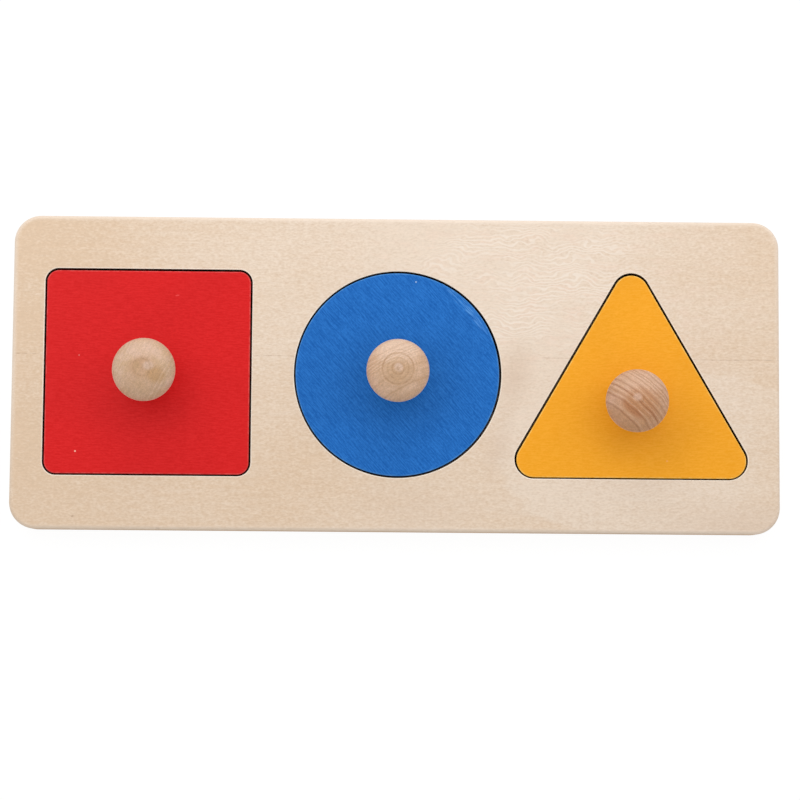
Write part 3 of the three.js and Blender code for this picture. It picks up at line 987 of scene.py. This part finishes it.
SHAPES = {
    "square": dict(piece="red_square", body="square_piece", screw_body="square_piece",
                   slot="red_paint"),
    "circle": dict(piece="blue_circle", body="circle_piece", screw_body="circle_screw",
                   slot="blue_paint"),
    "triangle": dict(piece="yellow_triangle", body="triangle_piece", screw_body="triangle_piece",
                     slot="yellow_paint"),
}
PAINTS = {
    "square": dict(name="red_satin_paint", dark=(0.644, 0.007, 0.0075), light=(0.731, 0.0155, 0.0165),
                   grain=(4, 0.5, 2), turn=-3,
                   specks=[((-124.65, -31.1), (0.5, 0.5), 0, (0.95, 0.45, 0.35), 1.0),
                           ((-85.85, 30.2), (1.1, 0.4), 10, (0.84, 0.07, 0.07), 0.8),
                           ((-123.8, 6.4), (0.4, 0.4), 0, (0.85, 0.25, 0.22), 0.6)]),
    "circle": dict(name="blue_satin_paint", dark=(0.003, 0.105, 0.4175), light=(0.021, 0.183, 0.5975),
                   grain=(7, 0.4, 2), turn=-48,
                   specks=[((7.4, 36.4), (0.45, 0.45), 0, (0.40, 0.55, 0.80), 0.8)],
                   scratches=[((25.2, 28.4), (9, 1.6), -45, (0.10, 0.33, 0.76), 0.85),
                              ((30.8, 22.2), (9, 1.6), -53, (0.09, 0.30, 0.74), 0.75)]),
    "triangle": dict(name="yellow_satin_paint", dark=(0.894, 0.3595, 0.01), light=(0.956, 0.4125, 0.028),
                     grain=(4, 0.5, 2), turn=1,
                     specks=[((105.8, -33.0), (0.55, 0.55), 0, (0.95, 0.42, 0.11), 0.8)]),
}
# Edge paints: worn paler paint on the eased edges with a painted highlight, lighter and less saturated
# than the top.
RUBBED_EDGE_HIGHLIGHTS = {
    "square": dict(name="red_rubbed_edge_highlight", dark=(0.64, 0.02, 0.02), light=(0.76, 0.075, 0.07)),
    "circle": dict(name="blue_rubbed_edge_highlight", dark=(0.02, 0.17, 0.52), light=(0.07, 0.26, 0.64)),
    "triangle": dict(name="yellow_rubbed_edge_highlight", dark=(0.88, 0.42, 0.035), light=(0.97, 0.55, 0.12)),
}
KNOB_MARKS = {
    "square": dict(grooves=[(3.3, 0.3, 0.08)], nub=None),
    "circle": dict(grooves=[(2.4, 0.25, 0.08), (6.0, 0.3, 0.08)], nub=None),
    "triangle": dict(grooves=[], nub=(1.2, 0.15)),
}
# On each knob the first patch, pale and high up, is painted highlight where the back lamp lights its
# upper side; the wide darker patches over its middle and lower half are partly the wood's tone and
# partly painted shade.
KNOB_WOODS = {
    "square": dict(
        pink=(0.67, 0.455, 0.33), tan=(0.60, 0.40, 0.25),
        dark=(0.43, 0.26, 0.145), bright=(0.74, 0.55, 0.43),
        pith_turn=152, pith_distance=70, unbroken=0.1,
        dark_lines=[(-0.85, 0.4, 0.25), (-0.72, 0.35, 0.3), (-0.6, 0.4, 0.35), (-0.35, 0.5, 0.15),
                    (-0.16, 0.6, 0.25), (0.02, 0.5, 0.25), (0.23, 0.6, 0.2), (0.58, 0.4, 0.3),
                    (0.7, 0.35, 0.35), (0.82, 0.35, 0.35)],
        bright_lines=[(-0.78, 0.35, 0.3), (-0.66, 0.35, 0.3), (0.64, 0.35, 0.3), (0.76, 0.35, 0.35)],
        tool_rings=[(3.3, 0.6, 0.6), (6.4, 0.6, 0.2)],
        stains=[((0, 7), (8, 5), 0, (0.70, 0.48, 0.37), 0.5),
                ((0, 0), (7, 6), 0, (0.525, 0.31, 0.185), 0.85),
                ((-1.9, 0.2), (2.0, 3.6), 0, (0.50, 0.32, 0.17), 0.55),
                ((0, -6), (11, 8), 0, (0.59, 0.375, 0.235), 0.6),
                ((5.4, -2.5), (5, 4.4), 0, (0.49, 0.285, 0.13), 0.7)],
        tip=((2.5, 0.8), (2.8, 2.3), 0, (0.69, 0.51, 0.42), 0.5)),
    "circle": dict(
        pink=(0.69, 0.465, 0.325), tan=(0.63, 0.41, 0.265),
        dark=(0.43, 0.25, 0.135), bright=(0.78, 0.58, 0.44),
        pith_turn=-63, pith_distance=80, unbroken=0.35,
        dark_lines=[(-0.85, 0.6, 0.25), (-0.57, 0.6, 0.55), (-0.3, 0.7, 0.15), (-0.1, 0.7, 0.3),
                    (0.1, 0.6, 0.2), (0.27, 0.35, 0.4), (0.345, 0.3, 0.45), (0.43, 0.35, 0.45),
                    (0.52, 0.35, 0.4), (0.675, 0.5, 0.4)],
        bright_lines=[(0.31, 0.25, 0.4), (0.388, 0.25, 0.45), (0.475, 0.3, 0.4), (0.58, 0.5, 0.3),
                      (0.8, 0.9, 0.35)],
        tool_rings=[(0.4, 0.5, 0.8), (2.3, 0.55, 0.75), (4.1, 0.45, 0.55), (6.0, 0.55, 0.8),
                    (7.3, 0.4, 0.35)],
        stains=[((0, 7), (11, 7), 0, (0.77, 0.56, 0.43), 0.7),
                ((0, -1.2), (8.5, 7.5), 0, (0.54, 0.34, 0.195), 0.65)],
        tip=((0.3, 0.6), (2.4, 2.4), 0, (0.69, 0.49, 0.38), 0.7)),
    "triangle": dict(
        pink=(0.62, 0.365, 0.24), tan=(0.56, 0.315, 0.18),
        dark=(0.29, 0.115, 0.05), bright=(0.76, 0.52, 0.37),
        pith_turn=-131, pith_distance=70, unbroken=0.4,
        dark_lines=[(-0.655, 0.5, 0.65), (-0.365, 0.6, 0.6), (-0.215, 0.4, 0.4), (-0.06, 0.4, 0.9),
                    (0.125, 0.45, 0.65), (0.33, 0.5, 0.45), (0.495, 0.3, 0.5), (0.595, 0.25, 0.45),
                    (0.67, 0.3, 0.65), (0.82, 0.4, 0.5)],
        bright_lines=[(-0.58, 0.5, 0.3), (-0.29, 0.3, 0.5), (-0.13, 0.35, 0.4), (0.02, 0.35, 0.4),
                      (0.21, 0.4, 0.4), (0.43, 0.4, 0.35), (0.545, 0.25, 0.6), (0.63, 0.25, 0.4),
                      (0.735, 0.3, 0.5), (0.885, 0.4, 0.45)],
        tool_rings=[(1.4, 0.5, 0.3)],
        stains=[((1, 7), (11, 7), 0, (0.68, 0.44, 0.305), 0.6),
                ((-1, -6), (13, 9), 0, (0.52, 0.265, 0.125), 0.6),
                ((-2.6, -3.8), (6.5, 2.2), -41, (0.40, 0.155, 0.065), 0.8),
                ((3.85, -4.15), (6, 2.4), -45, (0.44, 0.19, 0.085), 0.6),
                ((0.5, -0.5), (9, 7), 0, (0.50, 0.235, 0.105), 0.7)],
        tip=((-0.85, 0.8), (2.3, 2.1), 0, (0.68, 0.45, 0.34), 0.6)),
}


def build_puzzle():
    """Makes every piece and puts it on its body."""
    face_birch = birch_face()
    edge = ply_edge()
    wall = scorched_wall()
    raw = bare_birch("raw_birch", BIRCH_RAW)
    # The recess mouths: worn pale, with a painted highlight.
    mouth_highlight = bare_birch("rubbed_birch_highlight", BIRCH_RUBBED_HIGHLIGHT)
    steel = zinc_steel()
    outlines = shape_outlines()

    low, high = box_mm("face_panel")
    finish_piece(board_back(), "back_panel", "board", [raw, edge],
                 lambda spot, normal: raw if abs(normal.z) > HALF_LEVEL else edge)

    def face_finish(spot, normal):
        """Birch on top, veneers on the edges, and in the recesses worn mouths with a painted highlight
        and browned walls.
        """
        in_recess = inside_board(spot, low, high) and abs(normal.z) < LEVEL
        if normal.z > NO_WALL:
            return mouth_highlight if in_recess else face_birch
        return wall if in_recess else edge

    finish_piece(board_face(outlines), "face_panel", "board", [face_birch, edge, wall, mouth_highlight],
                 face_finish)

    for kind, facts in SHAPES.items():
        inset = f"{kind}_inset"
        knob_node = f"{kind}_knob"
        screw_node = f"{kind}_knob_screw"
        paint = satin_paint(**PAINTS[kind])
        # Edge paint: worn paler, with a painted highlight.
        rubbed_highlight = satin_paint(**RUBBED_EDGE_HIGHLIGHTS[kind], grain=RUBBED_HIGHLIGHT_GRAIN, turn=0)
        plate = shape(facts["piece"], inset, *outlines[inset], knob_node)
        hub = Vector((*axis_of(knob_node), 0))

        def shape_finish(spot, normal, hub=hub, paint=paint, rubbed_highlight=rubbed_highlight):
            """Paint on top, worn paler with a painted highlight at its edge, browned walls, and raw wood
            below and in the hole.
            """
            in_hole = (Vector((spot.x, spot.y, 0)) - hub).length < SCREW_SEAT_RADIUS + NEAR
            if in_hole or normal.z < -NO_WALL:
                return raw
            if normal.z < NO_WALL:
                return wall
            return paint if normal.z > LEVEL else rubbed_highlight

        finish_piece(plate, inset, facts["body"], [paint, raw, wall, rubbed_highlight], shape_finish)
        colour = facts["piece"].split("_")[0]
        knob_low, knob_high = box_mm(knob_node)
        wood = turned_wood(f"{colour}_knob_wood", axis=axis_of(knob_node),
                           radius=(knob_high.x - knob_low.x) / 2, **KNOB_WOODS[kind])
        finish_piece(knob(f"{facts['piece']}_knob", knob_node, **KNOB_MARKS[kind]), knob_node,
                     facts["body"], [wood])
        finish_piece(wood_screw(f"{facts['piece']}_screw", screw_node), screw_node,
                     facts["screw_body"], [steel])


bpy.context.scene.view_settings.view_transform = "Standard"
aim_camera()
light_studio()
lay_floor()
build_puzzle()
